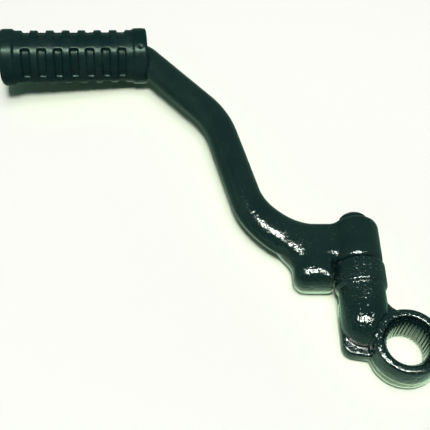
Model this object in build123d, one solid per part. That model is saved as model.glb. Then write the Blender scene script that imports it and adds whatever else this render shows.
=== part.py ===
"""Folding kick start lever, shown folded. Millimetres, +Z up along the kick shaft.

The origin is on the shaft axis at the hub's lower face. The pivot runs along Y. The folded lever lies to the
left of the pivot, and it opens by turning a quarter turn upward about it.
"""

import os
from math import acos, asin, cos, hypot, radians, sin, sqrt, tan

from build123d import *

os.makedirs("parts", exist_ok=True)

# Splined hub ring.
spline_teeth = 36
spline_tip_r = 7.5
spline_depth = 0.5
spline_land_deg = 3.2
entry_width = 1.5
entry_depth = 2.9
exit_chamfer = 0.4
hub_r = 13.0
hub_height = 14.5
hub_parting_z = 6.5
hub_crown_r = 1.1
hub_foot_r = 0.7
hub_draft_deg = 5.0
hub_foot_draft_deg = 7.0

# Leg beside the hub, and the round post and collar that carry the lever.
pivot_x = -13.7
pivot_z = 9.5
post_r = 8.7
post_dome_y = 9.0
leg_top_z = 12.0
toe_parting_z = 3.4
toe_top_z = 6.0
leg_bottom_z = 0.6
leg_corner_y = -1.4
leg_corner_r = 4.5
leg_end_y = 21.4
leg_edge_r = 1.1
leg_inset = 0.25
toe_inset = 0.8
toe_deg = 195.0
web_r = 6.0
collar_step = 1.0
collar_near_y = 22.0
collar_length = 9.7
washer_land_r = 12.2

# Pivot pin, its washer and the running clearances.
pin_r = 4.5
pin_depth = 21.0
pin_head_r = 5.3
pin_head_height = 3.6
washer_r = 5.7
washer_thickness = 1.0
seat_clearance = 0.02
running_clearance = 0.05
face_gap = 0.3
side_gap = 0.4

# Lever head: eye, flat web and the lug that houses the detent.
eye_r = 9.3
eye_length = 19.0
eye_near_round = 1.8
eye_far_round = 3.4
head_top_z = 14.5
head_bottom_z = 0.6
head_parting_z = 5.2
head_left_x = -38.5
head_draft_deg = 5.0
head_foot_draft_deg = 13.0
head_corner_r = 4.6
head_edge_r = 3.7
head_foot_r = 1.0
gusset_length = 9.0
gusset_depth = 6.0
gusset_inset = 0.7
gusset_taper = 1.2
gusset_r = 8.0
head_bevel = 6.8
web_inset = 0.5
cut_margin = 0.6
lug_length = 8.3

# Stop tab between collar and eye.
fold_deg = 90.0
stop_half_deg = 25.0
stop_slack_deg = 2.0
stop_tab_r = 7.0
stop_tab_height = 2.2

# Detent ball and spring.
ball_r = 2.0
ball_travel = 0.3
ball_inset = 3.4
detent_wall = 2.4
spring_wire_r = 0.3
spring_turns = 6
spring_clearance = 0.25

# Arm centre line, from the pedal end to the head, and its width at the stations along it.
pedal_x = -100.2
pedal_y = 141.5
pedal_z = 12.7
pedal_lean_deg = 7.1
pedal_rise_deg = 5.9
pedal_bend_inset = 2.4
knee_x = -67.6
knee_y = 104.4
knee_z = 10.8
heel_x = -53.7
heel_y = 57.3
heel_z = 8.2
neck_x = -39.9
neck_y = 44.6
neck_z = 8.0
neck_end_x = -24.0
neck_end_y = 41.5
pedal_bend_r = 9.0
knee_bend_r = 38.0
heel_bend_r = 30.0
neck_bend_r = 30.0
arm_upper_d = 11.9
arm_lower_d = 13.0
head_width = 18.0
neck_height = 12.8

# Pedal rubber.
rubber_length = 65.0
rubber_r = 11.7
rubber_collar_r = 12.5
rubber_collar_length = 6.4
rubber_inner_round = 1.0
rubber_outer_round = 2.0
rubber_cap = 5.0
recess_count = 7
recess_sets = 4
recess_pitch = 7.0
recess_width = 3.6
recess_depth = 1.4
recess_span_deg = 68.0
recess_turn_deg = 28.0
rib_step = 0.15
pip_deg = 64.0
pip_r = 1.0
pip_depth = 0.5
bead_r = 7.4
bead_length = 4.0

# Values that follow from the ones above.
spline_root_r = spline_tip_r + spline_depth
collar_r = post_r + collar_step
leg_left = pivot_x - post_r + leg_inset
leg_right = pivot_x + post_r - leg_inset
collar_far_y = collar_near_y + collar_length
eye_near_y = collar_far_y + face_gap
eye_far_y = eye_near_y + eye_length
lug_front_y = eye_near_y - lug_length
lug_inner_r = collar_r + side_gap
detent_y = lug_front_y + ball_inset
detent_end_x = head_left_x + detent_wall
detent_r = ball_r + running_clearance
pin_foot_y = collar_far_y - pin_depth
head_seat_y = eye_far_y + washer_thickness
pivot_plane = Plane(origin=(pivot_x, 0, pivot_z), x_dir=(1, 0, 0), z_dir=(0, 1, 0))
pedal_end = Vector(pedal_x, pedal_y, pedal_z)
pedal_run = Vector(-1, 0, 0).rotate(Axis.Y, pedal_rise_deg).rotate(Axis.Z, pedal_lean_deg)
pedal_across = (Vector(0, -1, 0) - pedal_run * Vector(0, -1, 0).dot(pedal_run)).normalized()
pedal_plane = Plane(origin=pedal_end, x_dir=pedal_across, z_dir=pedal_run)


def polar(r, deg):
    """Point at radius r and an angle in degrees."""
    return (r * cos(radians(deg)), r * sin(radians(deg)))


def near_vertex(sketch, x, y):
    """The corner of a flat outline closest to a point."""
    return min(sketch.vertices(), key=lambda v: hypot(v.X - x, v.Y - y))


def turned(points, plane=Plane.XY, angle=360.0):
    """Solid of revolution about a plane's normal, from (radius, height) points."""
    face = Plane.XZ * make_face(Polyline(*points, close=True))
    return plane * revolve(face, Axis.Z, angle)


def forged_slab(outline, parting_z, bottom_z, top_z, draft_deg, foot_draft_deg):
    """Flat forging that tapers away from its parting plane, above and below it."""
    upper = extrude(outline, top_z - parting_z, taper=draft_deg)
    lower = mirror(extrude(outline, parting_z - bottom_z, taper=foot_draft_deg), about=Plane.XY)
    return Pos(0, 0, parting_z) * (upper + lower)


def edges_at_z(solid, z):
    """Edges that lie in one level plane."""
    boxes = [(edge, edge.bounding_box()) for edge in solid.edges()]
    return [edge for edge, box in boxes if abs(box.min.Z - z) + abs(box.max.Z - z) < 1e-3]


def spline_hole(height):
    """Serrated shaft hole: flat-topped teeth around a round root."""
    pitch = 360.0 / spline_teeth
    half = spline_land_deg / 2
    lines = []
    for tooth in range(spline_teeth):
        mid = (tooth + 0.5) * pitch
        gap = mid + pitch / 2
        tip = [polar(spline_tip_r, mid + step) for step in (-half, 0, half)]
        root = [polar(spline_root_r, gap + step) for step in (-half, 0, half)]
        lines.append(ThreePointArc(*tip))
        lines.append(Line(tip[2], root[0]))
        lines.append(ThreePointArc(*root))
        lines.append(Line(root[2], polar(spline_tip_r, mid + pitch - half)))
    return extrude(make_face(lines), height)


def hub_ring():
    """Drafted ring around the shaft, with a rounded crown."""
    top_r = hub_r - (hub_height - hub_parting_z) * tan(radians(hub_draft_deg))
    foot_r = hub_r - hub_parting_z * tan(radians(hub_foot_draft_deg))
    ring = turned([(0, 0), (foot_r, 0), (hub_r, hub_parting_z), (top_r, hub_height), (0, hub_height)])
    ring = fillet(edges_at_z(ring, hub_height), hub_crown_r)
    return fillet(edges_at_z(ring, 0), hub_foot_r)


def leg_slab(corners, rounded, parting_z, top_z):
    """One level of the leg: a drafted slab that reaches around the hub, with some of its corners rounded."""
    plan = make_face(Polyline(*corners, close=True)) + Circle(hub_r)
    for corner in rounded:
        plan = fillet(near_vertex(plan, *corner), leg_corner_r)
    plan = fillet(near_vertex(plan, leg_right, sqrt(hub_r**2 - leg_right**2)), web_r)
    slab = forged_slab(plan, parting_z, leg_bottom_z, top_z, hub_draft_deg, hub_foot_draft_deg)
    slab = fillet(edges_at_z(slab, top_z), leg_edge_r)
    return fillet(edges_at_z(slab, leg_bottom_z), leg_edge_r)


def boss_leg():
    """Leg that joins the hub ring to the post: a low slanting toe, and a higher web on the far side."""
    near_left = (leg_left, leg_corner_y)
    far_left = (leg_left, leg_end_y)
    far_right = (leg_right, leg_end_y)
    inner = (leg_right, 0)
    toe = [near_left, polar(hub_r - toe_inset, toe_deg), inner, far_right, far_left]
    web = [(pivot_x, post_dome_y), inner, far_right, (pivot_x, leg_end_y)]
    low = leg_slab(toe, [near_left, far_left], toe_parting_z, toe_top_z)
    return low + leg_slab(web, [], hub_parting_z, leg_top_z)


def boss_post():
    """Round post with a domed end, and the collar that the eye turns against."""
    dome = CenterArc((0, post_dome_y), post_r, start_angle=270, arc_size=90)
    side = Polyline(
        (post_r, post_dome_y),
        (post_r, collar_near_y),
        (collar_r, collar_near_y),
        (collar_r, collar_far_y),
        (0, collar_far_y),
        (0, post_dome_y - post_r),
    )
    post = revolve(Plane.XZ * make_face([dome, side]), Axis.Z)
    rims = edges_at_z(post, collar_near_y) + edges_at_z(post, collar_far_y)
    post = fillet([rim for rim in rims if abs(rim.radius - collar_r) < 1e-3], collar_step * 0.8)
    tab = turned(
        [
            (pin_r + face_gap, collar_far_y - 1),
            (stop_tab_r, collar_far_y - 1),
            (stop_tab_r, collar_far_y + stop_tab_height),
            (pin_r + face_gap, collar_far_y + stop_tab_height),
        ],
        angle=2 * stop_half_deg,
    )
    return pivot_plane * (post + Rot(0, 0, -stop_half_deg) * tab)


def detent_pocket(turn_deg):
    """Shallow seat in the collar for the detent ball, turned about the pivot from the folded position."""
    reach = collar_r + running_clearance + ball_r - ball_travel
    arm = Location((pivot_x, detent_y, pivot_z), (0, turn_deg, 0))
    return arm * Pos(-reach, 0, 0) * Sphere(ball_r + 2 * running_clearance)


def kick_boss():
    """The whole forging: hub ring, leg, post and collar, with the land around the hole kept flat."""
    top_z = 2 * hub_height
    land = turned([(0, hub_height), (washer_land_r, hub_height), (washer_land_r, top_z), (0, top_z)])
    boss = (boss_leg() + boss_post()) - land + hub_ring()
    boss -= Pos(0, 0, -1) * spline_hole(hub_height + 2)
    for face_z, width, depth in ((hub_height, entry_width, -entry_depth), (0, exit_chamfer, exit_chamfer)):
        mouth = spline_root_r + width
        boss -= turned([(0, face_z), (mouth, face_z), (0, face_z + depth * mouth / width)])
    hole_r = pin_r + seat_clearance
    boss -= turned([(0, pin_foot_y), (hole_r, pin_foot_y), (hole_r, eye_far_y), (0, eye_far_y)], pivot_plane)
    for turn_deg in (0, fold_deg):
        boss -= detent_pocket(turn_deg)
    return boss


def pivot_pin():
    """Plain shank with a domed head beyond the eye."""
    rim = pin_head_height * 0.35
    rise = pin_head_height - rim
    dome_r = (pin_head_r**2 + rise**2) / (2 * rise)
    half_turn = asin(pin_head_r / dome_r) / 2
    top = head_seat_y + pin_head_height
    crown = ThreePointArc(
        (pin_head_r, head_seat_y + rim),
        (dome_r * sin(half_turn), top - dome_r * (1 - cos(half_turn))),
        (0, top),
    )
    shank = Polyline(
        (0, top),
        (0, pin_foot_y),
        (pin_r, pin_foot_y),
        (pin_r, head_seat_y),
        (pin_head_r, head_seat_y),
        (pin_head_r, head_seat_y + rim),
    )
    return pivot_plane * revolve(Plane.XZ * make_face([crown, shank]), Axis.Z)


def pivot_washer():
    """Washer between the eye and the pin's head."""
    inner = pin_r + 2 * running_clearance
    low = eye_far_y
    return turned([(inner, low), (washer_r, low), (washer_r, head_seat_y), (inner, head_seat_y)], pivot_plane)


def station(point, direction, width, height):
    """Oval cross section of the arm, upright and square to its centre line."""
    across = Vector(0, 0, 1).cross(direction).normalized()
    return Plane(origin=point, x_dir=across, z_dir=direction) * Ellipse(width / 2, height / 2)


def arm_bar(swell=0.0):
    """Forged bar swept along straight runs and bends from the peg to the head."""
    peg_end = pedal_end + pedal_run * (rubber_length - rubber_cap)
    neck_end = Vector(neck_end_x, neck_end_y, neck_z)
    corners = [
        peg_end,
        pedal_end + pedal_run * pedal_bend_inset,
        Vector(knee_x, knee_y, knee_z),
        Vector(heel_x, heel_y, heel_z),
        Vector(neck_x, neck_y, neck_z),
        neck_end,
    ]
    bends = [pedal_bend_r, knee_bend_r, heel_bend_r, neck_bend_r]
    runs = []
    ends = []
    start = peg_end
    for i, bend_r in enumerate(bends):
        into = (corners[i + 1] - corners[i]).normalized()
        out = (corners[i + 2] - corners[i + 1]).normalized()
        reach = bend_r * tan(acos(into.dot(out)) / 2)
        first = corners[i + 1] - into * reach
        last = corners[i + 1] + out * reach
        runs.append(Line(start, first))
        runs.append(TangentArc(first, last, tangent=into))
        ends.append((first, into))
        start = last
    runs.append(Line(start, neck_end))
    heel = station(*ends[2], arm_lower_d + swell, arm_lower_d + swell)
    upper = [station(peg_end, -pedal_run, arm_upper_d + swell, arm_upper_d + swell), heel]
    lower = [heel, station(neck_end, out, head_width + swell, neck_height + swell)]
    shank = sweep(sections=upper, path=Wire(runs[:5]), multisection=True)
    return shank + sweep(sections=lower, path=Wire(runs[5:]), multisection=True)


def peg_bead(swell=0.0):
    """Raised band on the peg that keeps the rubber on."""
    low = rubber_length - rubber_cap - 3 * bead_length
    mid = low + bead_length
    high = mid + bead_length * 0.75
    crest = [(bead_r + swell, mid), (bead_r + swell, mid + bead_length / 4)]
    return turned([(0, low), (arm_upper_d / 2, low), *crest, (arm_upper_d / 2, high), (0, high)], pedal_plane)


def head_web():
    """Flat web between the neck and the eye, with the lug standing out toward the hub."""
    lug_right = pivot_x - lug_inner_r + cut_margin
    far = eye_far_y - web_inset
    near = eye_near_y + web_inset
    run = Vector(neck_x - heel_x, neck_y - heel_y).normalized()
    inward = Vector(-run.Y, run.X)
    edge = Vector(neck_x, neck_y) - inward * ((arm_lower_d + head_width) / 4 - gusset_inset)
    crook = edge + run * ((head_left_x - edge.X) / run.X)
    tip = crook - run * gusset_length + inward * gusset_taper
    back = tip + inward * gusset_depth
    outline = Polyline(
        (back.X, back.Y),
        (tip.X, tip.Y),
        (crook.X, crook.Y),
        (head_left_x, lug_front_y),
        (lug_right, lug_front_y),
        (lug_right, near),
        (pivot_x, near),
        (pivot_x, far),
        (head_left_x + head_bevel, far),
        close=True,
    )
    plan = make_face(outline)
    plan = fillet(near_vertex(plan, head_left_x, lug_front_y), head_corner_r)
    plan = fillet(near_vertex(plan, crook.X, crook.Y), gusset_r)
    slab = forged_slab(plan, head_parting_z, head_bottom_z, head_top_z, head_draft_deg, head_foot_draft_deg)
    slab = fillet(edges_at_z(slab, head_top_z), head_edge_r)
    return fillet(edges_at_z(slab, head_bottom_z), head_foot_r)


def pivot_eye():
    """Round eye that turns on the pin against the collar."""
    eye = turned([(0, eye_near_y), (eye_r, eye_near_y), (eye_r, eye_far_y), (0, eye_far_y)])
    eye = fillet(edges_at_z(eye, eye_near_y), eye_near_round)
    return pivot_plane * fillet(edges_at_z(eye, eye_far_y), eye_far_round)


def kick_arm():
    """The whole lever forging: bar, head and eye, cut for the collar, pin, washer, stop tab and detent."""
    arm = arm_bar() + head_web() + pivot_eye() + peg_bead()
    beyond = eye_far_y + pin_head_height
    for r, low, high in (
        (lug_inner_r, collar_near_y - post_r, eye_near_y),
        (pin_r + running_clearance, collar_near_y, beyond),
        (washer_r + side_gap, eye_far_y, beyond),
    ):
        arm -= turned([(0, low), (r, low), (r, high), (0, high)], pivot_plane)
    floor = collar_far_y + stop_tab_height + face_gap
    wide = stop_tab_r + face_gap
    start_deg = stop_half_deg + stop_slack_deg + fold_deg
    travel_deg = 2 * stop_half_deg + fold_deg + 2 * stop_slack_deg
    track = turned([(0, eye_near_y), (wide, eye_near_y), (wide, floor), (0, floor)], angle=travel_deg)
    arm -= pivot_plane * Rot(0, 0, -start_deg) * track
    depth = pivot_x - detent_end_x
    along_x = Plane(origin=(detent_end_x, detent_y, pivot_z), z_dir=(1, 0, 0))
    return arm - turned([(0, 0), (detent_r, 0), (detent_r, depth), (0, depth)], along_x)


def detent_ball():
    """Ball at the height where it rides around the collar."""
    ride = collar_r + running_clearance + ball_r
    return Pos(pivot_x - ride, detent_y, pivot_z) * Sphere(ball_r)


def detent_spring():
    """Coil between the blind end of its hole and the back of the ball."""
    coil_r = ball_r - spring_wire_r - spring_clearance
    back_x = pivot_x - (collar_r + running_clearance + 2 * ball_r)
    length = back_x - detent_end_x - 2 * (spring_wire_r + running_clearance)
    path = Helix(length / spring_turns, length, coil_r)
    wire = Plane(origin=path @ 0, z_dir=path % 0) * Circle(spring_wire_r)
    coil = sweep(wire, path)
    return Pos(detent_end_x + spring_wire_r + running_clearance, detent_y, pivot_z) * Rot(0, 90, 0) * coil


def pedal_rubber():
    """Sleeve with a collar at each end, a closed cap, and recesses between rings and lengthwise ribs."""
    floor = rubber_r - recess_depth
    first = rubber_length / 2 - recess_pitch * (recess_count - 1) / 2 - recess_width / 2
    side = [(0, 0), (rubber_r, 0)]
    for ring in range(recess_count):
        low = first + ring * recess_pitch
        high = low + recess_width
        side += [(rubber_r, low), (floor, low), (floor, high), (rubber_r, high)]
    cap_z = rubber_length - rubber_outer_round
    sleeve = turned(side + [(rubber_r, cap_z), (0, cap_z)])
    rib_r = rubber_r - rib_step
    rib_deg = 360 / recess_sets - recess_span_deg
    rib = turned([(floor - 1, first), (rib_r, first), (rib_r, high), (floor - 1, high)], angle=rib_deg)
    for turn in range(recess_sets):
        sleeve += Rot(0, 0, turn * 360 / recess_sets - rib_deg / 2) * rib
    inner_z = rubber_length - rubber_collar_length
    for low, round_r in ((0, rubber_inner_round), (inner_z, rubber_outer_round)):
        high = low + rubber_collar_length
        collar = turned([(0, low), (rubber_collar_r, low), (rubber_collar_r, high), (0, high)])
        collar = fillet(edges_at_z(collar, low), rubber_inner_round)
        sleeve += fillet(edges_at_z(collar, high), round_r)
    sleeve = Rot(0, 0, recess_turn_deg + 180 / recess_sets) * sleeve
    pip = polar(rubber_collar_r + pip_r - pip_depth, pip_deg)
    sleeve -= Pos(*pip, rubber_collar_length / 2) * Sphere(pip_r)
    return pedal_plane * sleeve - arm_bar(2 * seat_clearance) - peg_bead(seat_clearance)


nodes = {
    "kick_boss": kick_boss(),
    "kick_arm": kick_arm(),
    "pedal_rubber": pedal_rubber(),
    "pivot_pin": pivot_pin(),
    "pivot_washer": pivot_washer(),
    "detent_ball": detent_ball(),
    "detent_spring": detent_spring(),
}

for name, shape in nodes.items():
    export_step(shape, f"parts/{name}.step")
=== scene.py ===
"""Folding kick start lever: black painted forgings and a moulded pedal rubber, lying on a white table.

Metres, in the part's own frame: the origin on the kick shaft's axis at the hub's lower face, +Z up.
"""

import math

import bmesh
import bpy
import numpy as np
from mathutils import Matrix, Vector, noise


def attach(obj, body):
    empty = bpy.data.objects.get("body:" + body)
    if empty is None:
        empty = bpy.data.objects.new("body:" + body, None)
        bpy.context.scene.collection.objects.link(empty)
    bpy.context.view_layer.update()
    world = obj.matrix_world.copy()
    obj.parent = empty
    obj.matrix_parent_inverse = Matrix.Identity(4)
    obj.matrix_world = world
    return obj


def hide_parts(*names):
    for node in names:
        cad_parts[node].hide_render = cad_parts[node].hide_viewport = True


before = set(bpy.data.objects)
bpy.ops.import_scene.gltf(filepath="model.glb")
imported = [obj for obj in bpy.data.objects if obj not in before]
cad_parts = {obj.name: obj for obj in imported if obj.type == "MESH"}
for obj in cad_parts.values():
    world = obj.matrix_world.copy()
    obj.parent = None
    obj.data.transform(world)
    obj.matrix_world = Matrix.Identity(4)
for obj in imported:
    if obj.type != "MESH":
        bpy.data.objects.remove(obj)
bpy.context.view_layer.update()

MM = 0.001
BLACK = (0.0, 0.0, 0.0)

# Camera over the near side of the table.
CAMERA_PLACE = Vector((-68.33, -93.92, 238.7)) * MM
CAMERA_TILT_DEG = 33.1
CAMERA_LENS = 57.35

# Lamps. The key and the fill light the matt shading, the strip and the window show in the gloss.
KEY_PLACE = Vector((-68.0, -80.0, 570.0)) * MM
KEY_AIM = Vector((-70.0, 260.0, 0.0)) * MM
KEY_SIZE = 115 * MM
KEY_POWER = 2.72
FILL_PLACE = Vector((50.0, 25.0, 900.0)) * MM
FILL_SIZE = 460 * MM
FILL_POWER = 3.65
STRIP_PLACE = Vector((-140.0, -45.0, 570.0)) * MM
STRIP_AIM = Vector((-140.0, -45.0, 0.0)) * MM
STRIP_LENGTH = 560 * MM
STRIP_WIDTH = 35 * MM
STRIP_POWER = 14.0
STRIP_COLOUR = (0.88, 1.0, 0.88)
WINDOW_PLACE = Vector((-700.0, 100.0, 230.0)) * MM
WINDOW_SIZE = 500 * MM
WINDOW_POWER = 0.1
WINDOW_COLOUR = (0.6, 1.0, 0.85)
LEVER_MIDDLE = Vector((-70.0, 75.0, 0.0)) * MM
LAMP_COLOUR = (1.0, 0.96, 0.99)

# Room: what lights the matt shading, what the gloss shows and what the camera sees past the table.
ROOM_COLOUR = (0.3, 0.5, 0.45)
ROOM_IN_GLOSS = (0.55, 1.0, 0.76)
ROOM_LIGHT = 0.2
ROOM_SEEN = (0.97, 0.985, 0.93)
ROOM_SEEN_LIGHT = 0.97

# Table top: paler away from its middle, painted greener in the lever's shade, glowing for the camera far off.
TABLE_HALF = 1.6
TABLE_Z = -0.25 * MM
EVEN_CENTRE = Vector((-55.0, -20.0, 0.0)) * MM
EVEN_REACH = 350 * MM
FAR_REACH = 720 * MM
TABLE_MIDDLE = (0.754, 0.767, 0.702)
TABLE_OUTER = (0.983, 0.991, 0.915)
TABLE_MOTTLE = (0.9, 0.88, 0.84)
MOTTLE_SHARE = 0.04
TABLE_SHADE = (0.86, 0.97, 0.75)
SHADE_REACH = 30 * MM
SHADE_OPEN = 0.95
SHADE_DEEP = 0.5
FAR_GLOW = (0.36, 0.365, 0.345)
TABLE_GLOW = 2.2

# Painted reflection, a glow seen only by gloss: the table as the gloss shows it, close to the paint or away
# from it, in front or behind, and by the toe; behind and by the toe it is darker, as painted shade.
MIRROR_NEAR = 3 * MM
MIRROR_FAR = 14 * MM
FRONT_Y = 20 * MM
BACK_Y = 34 * MM
# Painted shade in the reflection: around this spot by the toe the mirrored table is darker.
TOE_SHADE_SPOT = Vector((-22.0, 4.0, 0.0)) * MM
SPOT_NEAR = 8 * MM
SPOT_FAR = 17 * MM
# Painted reflection colours, close and away; the back ones are darker as painted shade.
CLOSE_FRONT = (0.8, 1.15, 0.74)
CLOSE_BACK = (0.38, 0.55, 0.38)
CLOSE_TOE_SHADE = (0.16, 0.26, 0.17)
AWAY_FRONT = (0.14, 0.27, 0.195)
AWAY_BACK = (0.045, 0.1, 0.073)

# Paint, rubber and steel.
PAINT = {"Film Colour": (0.0027, 0.0138, 0.0122), "Dust Colour": (0.07, 0.105, 0.09)}
ARM_FILM = {"Pit Depth": 0.45, "Peel Scale": 1150.0, "Dust": 0.03, "Dulling": 0.2}
BOSS_FILM = {"Pit Depth": 0.85, "Peel Scale": 1280.0, "Dust": 0.42}
TOOTH_FILM = {"Pit Depth": 0.3}
ARM_BUMP = 0.155 * MM
BOSS_BUMP = 0.195 * MM
TOOTH_BUMP = 0.02 * MM
HEAD_RELIEF = 1.4
NECK_X = -48 * MM
HEAD_X = -32 * MM
PAINT_IOR = 1.5
RUBBER_DARK = (0.004, 0.0165, 0.0155)
RUBBER_BLOOM = (0.0085, 0.0225, 0.0205)
RUBBER_FLECK = (0.03, 0.05, 0.042)
RUBBER_GLINT = (0.78, 1.0, 0.86)
RUBBER_SHINE = 0.09
RUBBER_BUMP = 0.03 * MM
STEEL_DARK = (0.42, 0.42, 0.41)
STEEL_PALE = (0.6, 0.6, 0.58)

# Surface meshes: voxel size, how far creases are drawn round, and the forgings' waves as (length, depth).
ARM_VOXEL = 0.42 * MM
BOSS_VOXEL = 0.26 * MM
RUBBER_VOXEL = 0.36 * MM
ARM_ROUNDS = 10
HEAD_ROUNDS = 40
BOSS_ROUNDS = 9
RUBBER_ROUNDS = 3
ARM_WAVES = [(9 * MM, 0.05 * MM), (2.2 * MM, 0.018 * MM)]
BOSS_WAVES = [(4 * MM, 0.05 * MM), (1.4 * MM, 0.03 * MM)]

# Shaft hole: the reach of its separate toothed lining, and how far the skin lies behind it.
WELD = 1e-6
LINING_REACH = 9.45 * MM
LINING_SETBACK = 0.75 * MM
LINING_BLEND = 0.8 * MM
LINING_HOLD = 0.85

# Upper edges of the lever head, in millimetres, and the spans over which their rounds fade in and out.
HEAD_TOP_Z = 14.5
ARM_EDGE = (-44.7, 39.4)
ARM_INWARD = (0.677, 0.736)
LUG_SIDE_X = -38.3
LUG_FRONT_Y = 23.9
SIDE_ROUND = 6.5
FRONT_ROUND = 5.5
WORN_FROM_X = (-50, -44)
WORN_TO_X = (-28, -24)
WORN_FROM_Z = (6, 8)

# Spans in millimetres of the softened lug and eye crease on the arm, and of the crisper toe on the boss.
LUG_FROM_X = (-54, -46)
LUG_TO_X = (-27, -24)
LUG_TO_Y = (52, 58)
CREASE_FROM_X = (-28, -24)
CREASE_TO_X = (-18, -14)
CREASE_FROM_Y = (35, 39)
SOFT_FROM_Z = (7, 10)
TOE_TO_X = (-10, -7)
TOE_TO_Y = (3, 7)
TOE_TO_Z = (6.5, 8.5)
TOE_HOLD = 0.75


def mesh_points(mesh):
    """The mesh's points as an array."""
    points = np.empty(len(mesh.vertices) * 3)
    mesh.vertices.foreach_get("co", points)
    return points.reshape(-1, 3)


def set_points(mesh, points):
    """Writes the points back and refreshes the mesh."""
    mesh.vertices.foreach_set("co", points.ravel())
    mesh.update()


def mesh_normals(mesh):
    """The mesh's point normals as an array."""
    normals = np.empty(len(mesh.vertices) * 3)
    mesh.vertices.foreach_get("normal", normals)
    return normals.reshape(-1, 3)


def skin_of(node, name, voxel):
    """A closed even skin over a CAD node, as a new piece."""
    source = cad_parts[node].data.copy()
    welded = bmesh.new()
    welded.from_mesh(source)
    bmesh.ops.remove_doubles(welded, verts=welded.verts, dist=WELD)
    welded.to_mesh(source)
    welded.free()
    piece = bpy.data.objects.new(name, source)
    bpy.context.collection.objects.link(piece)
    remesh = piece.modifiers.new("skin", "REMESH")
    remesh.mode = "VOXEL"
    remesh.voxel_size = voxel
    depsgraph = bpy.context.evaluated_depsgraph_get()
    piece.data = bpy.data.meshes.new_from_object(piece.evaluated_get(depsgraph))
    piece.modifiers.clear()
    piece.data.name = name
    bpy.data.meshes.remove(source)
    return piece


def hole_lining(node, name, reach):
    """The faces of the shaft hole, with their teeth kept sharp, as a new piece."""
    lining = bmesh.new()
    lining.from_mesh(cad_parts[node].data)
    bmesh.ops.remove_doubles(lining, verts=lining.verts, dist=WELD)
    outside = [vert for vert in lining.verts if math.hypot(vert.co.x, vert.co.y) > reach]
    bmesh.ops.delete(lining, geom=outside, context="VERTS")
    mesh = bpy.data.meshes.new(name)
    lining.to_mesh(mesh)
    lining.free()
    piece = bpy.data.objects.new(name, mesh)
    bpy.context.collection.objects.link(piece)
    return piece


def draw_round(piece, rounds, hold=None):
    """Draws every point toward the middle of its neighbours; hold, from 0 to 1, keeps points in place."""
    mesh = piece.data
    points = mesh_points(mesh)
    edges = np.empty(len(mesh.edges) * 2, int)
    mesh.edges.foreach_get("vertices", edges)
    first, second = edges.reshape(-1, 2).T
    count = len(points)
    valence = np.bincount(edges, minlength=count)[:, None]
    pull = 0.5 if hold is None else 0.5 * (1 - hold)[:, None]
    for _ in range(rounds):
        total = np.empty_like(points)
        for axis in range(3):
            total[:, axis] = np.bincount(first, points[second, axis], count)
            total[:, axis] += np.bincount(second, points[first, axis], count)
        points += pull * (total / valence - points)
    set_points(mesh, points)


def rise(values, span):
    """0 below the span in millimetres, 1 above it, smooth within, over an array in metres."""
    low, high = span
    part = np.clip((values / MM - low) / (high - low), 0, 1)
    return part * part * (3 - 2 * part)


def roughen(piece, layers, share=None):
    """Raises and sinks the skin along its normals by layers of (wave length, depth) noise."""
    mesh = piece.data
    points = mesh_points(mesh)
    lift = np.zeros(len(points))
    for wave, depth in layers:
        lift += depth * np.array([noise.noise(Vector(point) / wave) for point in points])
    if share is not None:
        lift *= share
    set_points(mesh, points + mesh_normals(mesh) * lift[:, None])


def round_head_edges(piece):
    """Wears the upper edges of the head down to large rounds, along the arm, the lug's side and its front."""
    points = mesh_points(piece.data)
    x, y, z = points.T / MM
    from_arm = (x - ARM_EDGE[0]) * ARM_INWARD[0] + (y - ARM_EDGE[1]) * ARM_INWARD[1]
    from_side = np.maximum(from_arm, x - LUG_SIDE_X)
    cap = np.full(len(points), HEAD_TOP_Z)
    for inside, radius in ((from_side, SIDE_ROUND), (y - LUG_FRONT_Y, FRONT_ROUND)):
        over = np.clip(radius - inside, 0, radius)
        cap -= radius - np.sqrt(radius**2 - over**2)
    share = rise(points[:, 0], WORN_FROM_X) * (1 - rise(points[:, 0], WORN_TO_X))
    share *= rise(points[:, 2], WORN_FROM_Z)
    points[:, 2] += np.minimum(cap - z, 0) * share * MM
    set_points(piece.data, points)


def shade_smooth(piece):
    """Smooth shading over the whole piece."""
    piece.data.polygons.foreach_set("use_smooth", [True] * len(piece.data.polygons))


def add(tree, kind, settings=None, **links):
    """A node with its settings, and its inputs linked or set by name."""
    node = tree.nodes.new(kind)
    for key, value in (settings or {}).items():
        if key in node.inputs:
            node.inputs[key].default_value = value
        else:
            setattr(node, key, value)
    for key, socket in links.items():
        tree.links.new(socket, node.inputs[key.replace("_", " ")])
    return node


def noise_node(tree, place, settings, **links):
    """A noise texture over the piece's own coordinates."""
    return add(tree, "ShaderNodeTexNoise", settings, Vector=place, **links).outputs[0]


def math_node(tree, operation, first, second):
    """One sum of two sockets or numbers."""
    node = tree.nodes.new("ShaderNodeMath")
    node.operation = operation
    for place, value in enumerate((first, second)):
        if isinstance(value, (int, float)):
            node.inputs[place].default_value = value
        else:
            tree.links.new(value, node.inputs[place])
    return node.outputs[0]


def colour_mix(tree, share, low, high):
    """Two colours, or sockets, mixed by a share."""
    node = tree.nodes.new("ShaderNodeMix")
    node.data_type = "RGBA"
    tree.links.new(share, node.inputs[0])
    for place, value in ((6, low), (7, high)):
        if isinstance(value, tuple):
            node.inputs[place].default_value = (*value, 1)
        else:
            tree.links.new(value, node.inputs[place])
    return node.outputs[2]


def ramp(tree, socket, low, high):
    """0 at low, 1 at high, smooth between and level outside; low may be the larger number."""
    node = tree.nodes.new("ShaderNodeMapRange")
    node.interpolation_type = "SMOOTHSTEP"
    node.inputs["From Min"].default_value = low
    node.inputs["From Max"].default_value = high
    tree.links.new(socket, node.inputs["Value"])
    return node.outputs[0]


def distance_from(tree, place, spot):
    """How far each place on the surface is from a spot."""
    node = add(tree, "ShaderNodeVectorMath", {"operation": "DISTANCE"})
    tree.links.new(place, node.inputs[0])
    node.inputs[1].default_value = spot
    return node.outputs["Value"]


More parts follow.
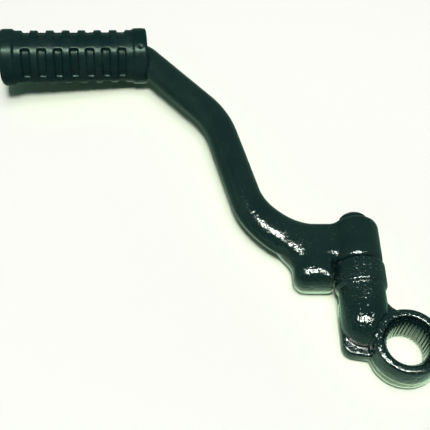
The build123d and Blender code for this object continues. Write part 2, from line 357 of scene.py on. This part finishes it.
def shader_group(name, inputs, outputs):
    """An empty shader node group with named sockets."""
    group = bpy.data.node_groups.new(name, "ShaderNodeTree")
    for socket, value in inputs:
        kind = "NodeSocketColor" if isinstance(value, tuple) else "NodeSocketFloat"
        made = group.interface.new_socket(socket, in_out="INPUT", socket_type=kind)
        made.default_value = (*value, 1) if isinstance(value, tuple) else value
    for socket, kind in outputs:
        group.interface.new_socket(socket, in_out="OUTPUT", socket_type=kind)
    return group, group.nodes.new("NodeGroupInput"), group.nodes.new("NodeGroupOutput")


def paint_film_group():
    """Sprayed gloss paint over a forging: orange peel, forging pits, uneven gloss and dull, dusty specks."""
    group, given, result = shader_group(
        "paint_film",
        [
            ("Film Colour", (0.01, 0.02, 0.02)),
            ("Dust Colour", (0.1, 0.12, 0.11)),
            ("Peel Scale", 1500.0),
            ("Pit Scale", 700.0),
            ("Pit Depth", 0.5),
            ("Gloss", 0.05),
            ("Relief", 1.0),
            ("Dust", 0.3),
            ("Dulling", 0.3),
        ],
        [
            ("Colour", "NodeSocketColor"),
            ("Roughness", "NodeSocketFloat"),
            ("Height", "NodeSocketFloat"),
        ],
    )
    given = given.outputs
    place = add(group, "ShaderNodeTexCoord").outputs["Object"]
    peel = noise_node(group, place, {"Detail": 1.5, "Roughness": 0.45}, Scale=given["Peel Scale"])
    pits = noise_node(group, place, {"Detail": 3.0, "Roughness": 0.55}, Scale=given["Pit Scale"])
    broad = noise_node(group, place, {"Scale": 60.0, "Detail": 2.0})
    specks = noise_node(group, place, {"Scale": 1300.0, "Detail": 2.0, "Roughness": 0.7})

    height = math_node(group, "ADD", peel, math_node(group, "MULTIPLY", pits, given["Pit Depth"]))
    height = math_node(group, "MULTIPLY", height, given["Relief"])

    patches = ramp(group, broad, 0.25, 0.6)
    speckled = math_node(group, "MULTIPLY", ramp(group, specks, 0.56, 0.72), patches)
    dusty = math_node(group, "MULTIPLY", speckled, given["Dust"])
    bloom = math_node(group, "MULTIPLY", ramp(group, broad, 0.3, 0.7), 0.045)
    film = colour_mix(group, bloom, given["Film Colour"], given["Dust Colour"])
    colour = colour_mix(group, dusty, film, given["Dust Colour"])

    rough = math_node(group, "ADD", given["Gloss"], math_node(group, "MULTIPLY", broad, 0.1))
    rough = math_node(group, "ADD", rough, math_node(group, "MULTIPLY", speckled, given["Dulling"]))
    group.links.new(colour, result.inputs["Colour"])
    group.links.new(rough, result.inputs["Roughness"])
    group.links.new(height, result.inputs["Height"])
    return group


def new_material(name):
    """A material with a bare Principled shader."""
    material = bpy.data.materials.new(name)
    material.use_nodes = True
    return material, material.node_tree, material.node_tree.nodes["Principled BSDF"]


def paint_material(name, group, film_values, bump_depth, head_relief=None):
    """Gloss paint with its own film values; head_relief coarsens it from the neck to the head."""
    material, tree, shader = new_material(name)
    film = tree.nodes.new("ShaderNodeGroup")
    film.node_tree = group
    for socket, value in {**PAINT, **film_values}.items():
        film.inputs[socket].default_value = (*value, 1) if isinstance(value, tuple) else value
    relief = {"Distance": bump_depth, "Strength": 1.0}
    bump = add(tree, "ShaderNodeBump", relief, Height=film.outputs["Height"])
    tree.links.new(film.outputs["Colour"], shader.inputs["Base Color"])
    tree.links.new(film.outputs["Roughness"], shader.inputs["Roughness"])
    tree.links.new(bump.outputs[0], shader.inputs["Normal"])
    shader.inputs["IOR"].default_value = PAINT_IOR
    if head_relief:
        place = add(tree, "ShaderNodeTexCoord").outputs["Object"]
        along = add(tree, "ShaderNodeSeparateXYZ", Vector=place).outputs["X"]
        span = {"From Min": NECK_X, "From Max": HEAD_X, "To Min": 1.0, "To Max": head_relief}
        coarse = add(tree, "ShaderNodeMapRange", span, Value=along)
        tree.links.new(coarse.outputs[0], film.inputs["Relief"])
    return material


def rubber_material():
    """Moulded rubber: fine grain, a dull bloom and paler flecks."""
    material, tree, shader = new_material("moulded_rubber")
    place = add(tree, "ShaderNodeTexCoord").outputs["Object"]
    grain = noise_node(tree, place, {"Scale": 2200.0, "Detail": 3.0, "Roughness": 0.6})
    bloom = noise_node(tree, place, {"Scale": 90.0, "Detail": 4.0, "Roughness": 0.6})
    bloomed = ramp(tree, bloom, 0.38, 0.7)
    tint = colour_mix(tree, bloomed, RUBBER_DARK, RUBBER_BLOOM)
    fleck = math_node(tree, "MULTIPLY", ramp(tree, grain, 0.58, 0.75), 0.25)
    tree.links.new(colour_mix(tree, fleck, tint, RUBBER_FLECK), shader.inputs["Base Color"])
    rough = math_node(tree, "ADD", math_node(tree, "MULTIPLY", bloomed, 0.08), 0.24)
    tree.links.new(rough, shader.inputs["Roughness"])
    bump = add(tree, "ShaderNodeBump", {"Distance": RUBBER_BUMP, "Strength": 0.8}, Height=grain)
    tree.links.new(bump.outputs[0], shader.inputs["Normal"])
    shader.inputs["Specular IOR Level"].default_value = RUBBER_SHINE
    shader.inputs["Specular Tint"].default_value = (*RUBBER_GLINT, 1)
    return material


def steel_material():
    """Bare ground steel with a fine uneven grain."""
    material, tree, shader = new_material("bare_steel")
    place = add(tree, "ShaderNodeTexCoord").outputs["Object"]
    grain = noise_node(tree, place, {"Scale": 4000.0, "Detail": 2.0})
    tree.links.new(colour_mix(tree, grain, STEEL_DARK, STEEL_PALE), shader.inputs["Base Color"])
    rough = math_node(tree, "ADD", math_node(tree, "MULTIPLY", grain, 0.2), 0.2)
    tree.links.new(rough, shader.inputs["Roughness"])
    shader.inputs["Metallic"].default_value = 1.0
    return material


def painted_table_reflection(tree, place, path):
    """Painted reflection: the table's colour as the gloss of the paint shows it, with painted shade behind
    and by the toe.
    """
    depth = add(tree, "ShaderNodeSeparateXYZ", Vector=place).outputs["Y"]
    behind = ramp(tree, depth, FRONT_Y, BACK_Y)
    clear_of_toe_shade = ramp(tree, distance_from(tree, place, TOE_SHADE_SPOT), SPOT_NEAR, SPOT_FAR)
    close = colour_mix(tree, behind, CLOSE_FRONT, CLOSE_BACK)
    close = colour_mix(tree, clear_of_toe_shade, CLOSE_TOE_SHADE, close)
    away = colour_mix(tree, behind, AWAY_FRONT, AWAY_BACK)
    return colour_mix(tree, ramp(tree, path["Ray Length"], MIRROR_NEAR, MIRROR_FAR), close, away)


def table_material():
    """White table top, faintly mottled, with a painted green tint in the lever's shade; glossy rays see it
    black, glowing in painted reflection colours of its own.
    """
    material, tree, shader = new_material("white_table")
    place = add(tree, "ShaderNodeTexCoord").outputs["Object"]
    path = add(tree, "ShaderNodeLightPath").outputs
    off_centre = distance_from(tree, place, EVEN_CENTRE)
    mottle = noise_node(tree, place, {"Scale": 14.0, "Detail": 2.0})
    open_sky = add(tree, "ShaderNodeAmbientOcclusion", {"Distance": SHADE_REACH, "samples": 8}).outputs["AO"]
    top = colour_mix(tree, ramp(tree, off_centre, 0.0, EVEN_REACH), TABLE_MIDDLE, TABLE_OUTER)
    top = colour_mix(tree, math_node(tree, "MULTIPLY", mottle, MOTTLE_SHARE), top, TABLE_MOTTLE)
    # Painted shade: where ambient occlusion finds the lever close by, the table's colour is mixed toward the
    # green shade tint.
    top = colour_mix(tree, ramp(tree, open_sky, SHADE_OPEN, SHADE_DEEP), top, TABLE_SHADE)

    far = ramp(tree, off_centre, EVEN_REACH, FAR_REACH)
    far_seen = math_node(tree, "MULTIPLY", far, path["Is Camera Ray"])
    glow = colour_mix(tree, far_seen, BLACK, FAR_GLOW)
    # Painted reflection: for glossy rays the table is black and glows in its own reflection colours.
    in_gloss = path["Is Glossy Ray"]
    tree.links.new(colour_mix(tree, in_gloss, top, BLACK), shader.inputs["Base Color"])
    glow = colour_mix(tree, in_gloss, glow, painted_table_reflection(tree, place, path))
    tree.links.new(glow, shader.inputs["Emission Color"])
    shader.inputs["Emission Strength"].default_value = TABLE_GLOW
    shader.inputs["Roughness"].default_value = 0.6
    shader.inputs["Specular IOR Level"].default_value = 0.15
    return material


def dress(piece, body, material):
    """Rides a new piece on its body and gives it its finish."""
    piece.data.materials.clear()
    piece.data.materials.append(material)
    shade_smooth(piece)
    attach(piece, body)


def refinish(node, material):
    """Gives a CAD node that stays a better finish."""
    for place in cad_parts[node].material_slots:
        place.material = material


def lamp(name, place, target, size, power, colour, in_gloss=True, in_matt=True, width=None):
    """Round or long lamp aimed at a point, which may be left out of gloss or of matt shading."""
    light = bpy.data.lights.new(name, "AREA")
    light.shape = "RECTANGLE" if width else "DISK"
    light.size = size
    light.size_y = width or size
    light.energy = power
    light.color = colour
    holder = bpy.data.objects.new(name, light)
    holder.location = place
    holder.rotation_euler = (target - place).to_track_quat("-Z", "Y").to_euler()
    holder.visible_glossy = in_gloss
    holder.visible_diffuse = in_matt
    bpy.context.collection.objects.link(holder)


paint_film = paint_film_group()
arm_paint = paint_material("arm_gloss_paint", paint_film, ARM_FILM, ARM_BUMP, HEAD_RELIEF)
boss_paint = paint_material("boss_gloss_paint", paint_film, BOSS_FILM, BOSS_BUMP)
tooth_paint = paint_material("tooth_gloss_paint", paint_film, TOOTH_FILM, TOOTH_BUMP)
rubber = rubber_material()
steel = steel_material()

arm = skin_of("kick_arm", "lever_arm", ARM_VOXEL)
round_head_edges(arm)
draw_round(arm, ARM_ROUNDS)
arm_x, arm_y, arm_z = mesh_points(arm.data).T
lug = rise(arm_x, LUG_FROM_X) * (1 - rise(arm_x, LUG_TO_X)) * (1 - rise(arm_y, LUG_TO_Y))
crease = rise(arm_x, CREASE_FROM_X) * (1 - rise(arm_x, CREASE_TO_X)) * rise(arm_y, CREASE_FROM_Y)
draw_round(arm, HEAD_ROUNDS, 1 - np.maximum(lug, crease) * rise(arm_z, SOFT_FROM_Z))
roughen(arm, ARM_WAVES)
dress(arm, "arm", arm_paint)
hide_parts("kick_arm")

boss = skin_of("kick_boss", "hub_and_post", BOSS_VOXEL)
boss_points = mesh_points(boss.data)
boss_x, boss_y, boss_z = boss_points.T
boss_radius = np.hypot(boss_x, boss_y)
tooth_hold = np.where(boss_radius < LINING_REACH, LINING_HOLD, 0.0)
toe_hold = TOE_HOLD * (1 - rise(boss_x, TOE_TO_X)) * (1 - rise(boss_y, TOE_TO_Y))
toe_hold *= 1 - rise(boss_z, TOE_TO_Z)
setback = np.clip((LINING_REACH - boss_radius) / LINING_BLEND, 0, 1) * LINING_SETBACK
boss_points[:, :2] *= 1 + (setback / np.maximum(boss_radius, MM))[:, None]
set_points(boss.data, boss_points)
draw_round(boss, BOSS_ROUNDS, np.maximum(tooth_hold, toe_hold))
roughen(boss, BOSS_WAVES, 1 - tooth_hold)
dress(boss, "boss", boss_paint)
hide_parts("kick_boss")

teeth = hole_lining("kick_boss", "hub_teeth", LINING_REACH)
dress(teeth, "boss", tooth_paint)
teeth.data.shade_flat()

sleeve = skin_of("pedal_rubber", "pedal_sleeve", RUBBER_VOXEL)
draw_round(sleeve, RUBBER_ROUNDS)
dress(sleeve, "arm", rubber)
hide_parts("pedal_rubber")

refinish("pivot_pin", arm_paint)
refinish("pivot_washer", arm_paint)
refinish("detent_ball", steel)
refinish("detent_spring", steel)

table_mesh = bpy.data.meshes.new("table_top")
corners = [(x * TABLE_HALF, y * TABLE_HALF, TABLE_Z) for x, y in ((-1, -1), (1, -1), (1, 1), (-1, 1))]
table_mesh.from_pydata(corners, [], [(0, 1, 2, 3)])
table = bpy.data.objects.new("table_top", table_mesh)
table_mesh.materials.append(table_material())
bpy.context.collection.objects.link(table)

lamp("key_lamp", KEY_PLACE, KEY_AIM, KEY_SIZE, KEY_POWER, LAMP_COLOUR, in_gloss=False)
lamp(
    "strip_lamp", STRIP_PLACE, STRIP_AIM, STRIP_LENGTH, STRIP_POWER, STRIP_COLOUR,
    in_matt=False, width=STRIP_WIDTH,
)
lamp("left_window", WINDOW_PLACE, LEVER_MIDDLE, WINDOW_SIZE, WINDOW_POWER, WINDOW_COLOUR, in_matt=False)
lamp("soft_fill", FILL_PLACE, LEVER_MIDDLE, FILL_SIZE, FILL_POWER, LAMP_COLOUR, in_gloss=False)

scene = bpy.context.scene
world = bpy.data.worlds.new("pale_room")
world.use_nodes = True
tree = world.node_tree
room = tree.nodes["Background"]
path = add(tree, "ShaderNodeLightPath").outputs
tint = colour_mix(tree, path["Is Glossy Ray"], ROOM_COLOUR, ROOM_IN_GLOSS)
tint = colour_mix(tree, path["Is Camera Ray"], tint, ROOM_SEEN)
tree.links.new(tint, room.inputs["Color"])
levels = {"To Min": ROOM_LIGHT, "To Max": ROOM_SEEN_LIGHT}
strength = add(tree, "ShaderNodeMapRange", levels, Value=path["Is Camera Ray"])
tree.links.new(strength.outputs[0], room.inputs["Strength"])
scene.world = world

view = bpy.data.cameras.new("table_view")
view.lens = CAMERA_LENS
view.clip_start = 0.01
camera = bpy.data.objects.new("table_view", view)
camera.location = CAMERA_PLACE
camera.rotation_euler = (math.radians(CAMERA_TILT_DEG), 0, 0)
bpy.context.collection.objects.link(camera)
scene.camera = camera
scene.view_settings.view_transform = "Standard"
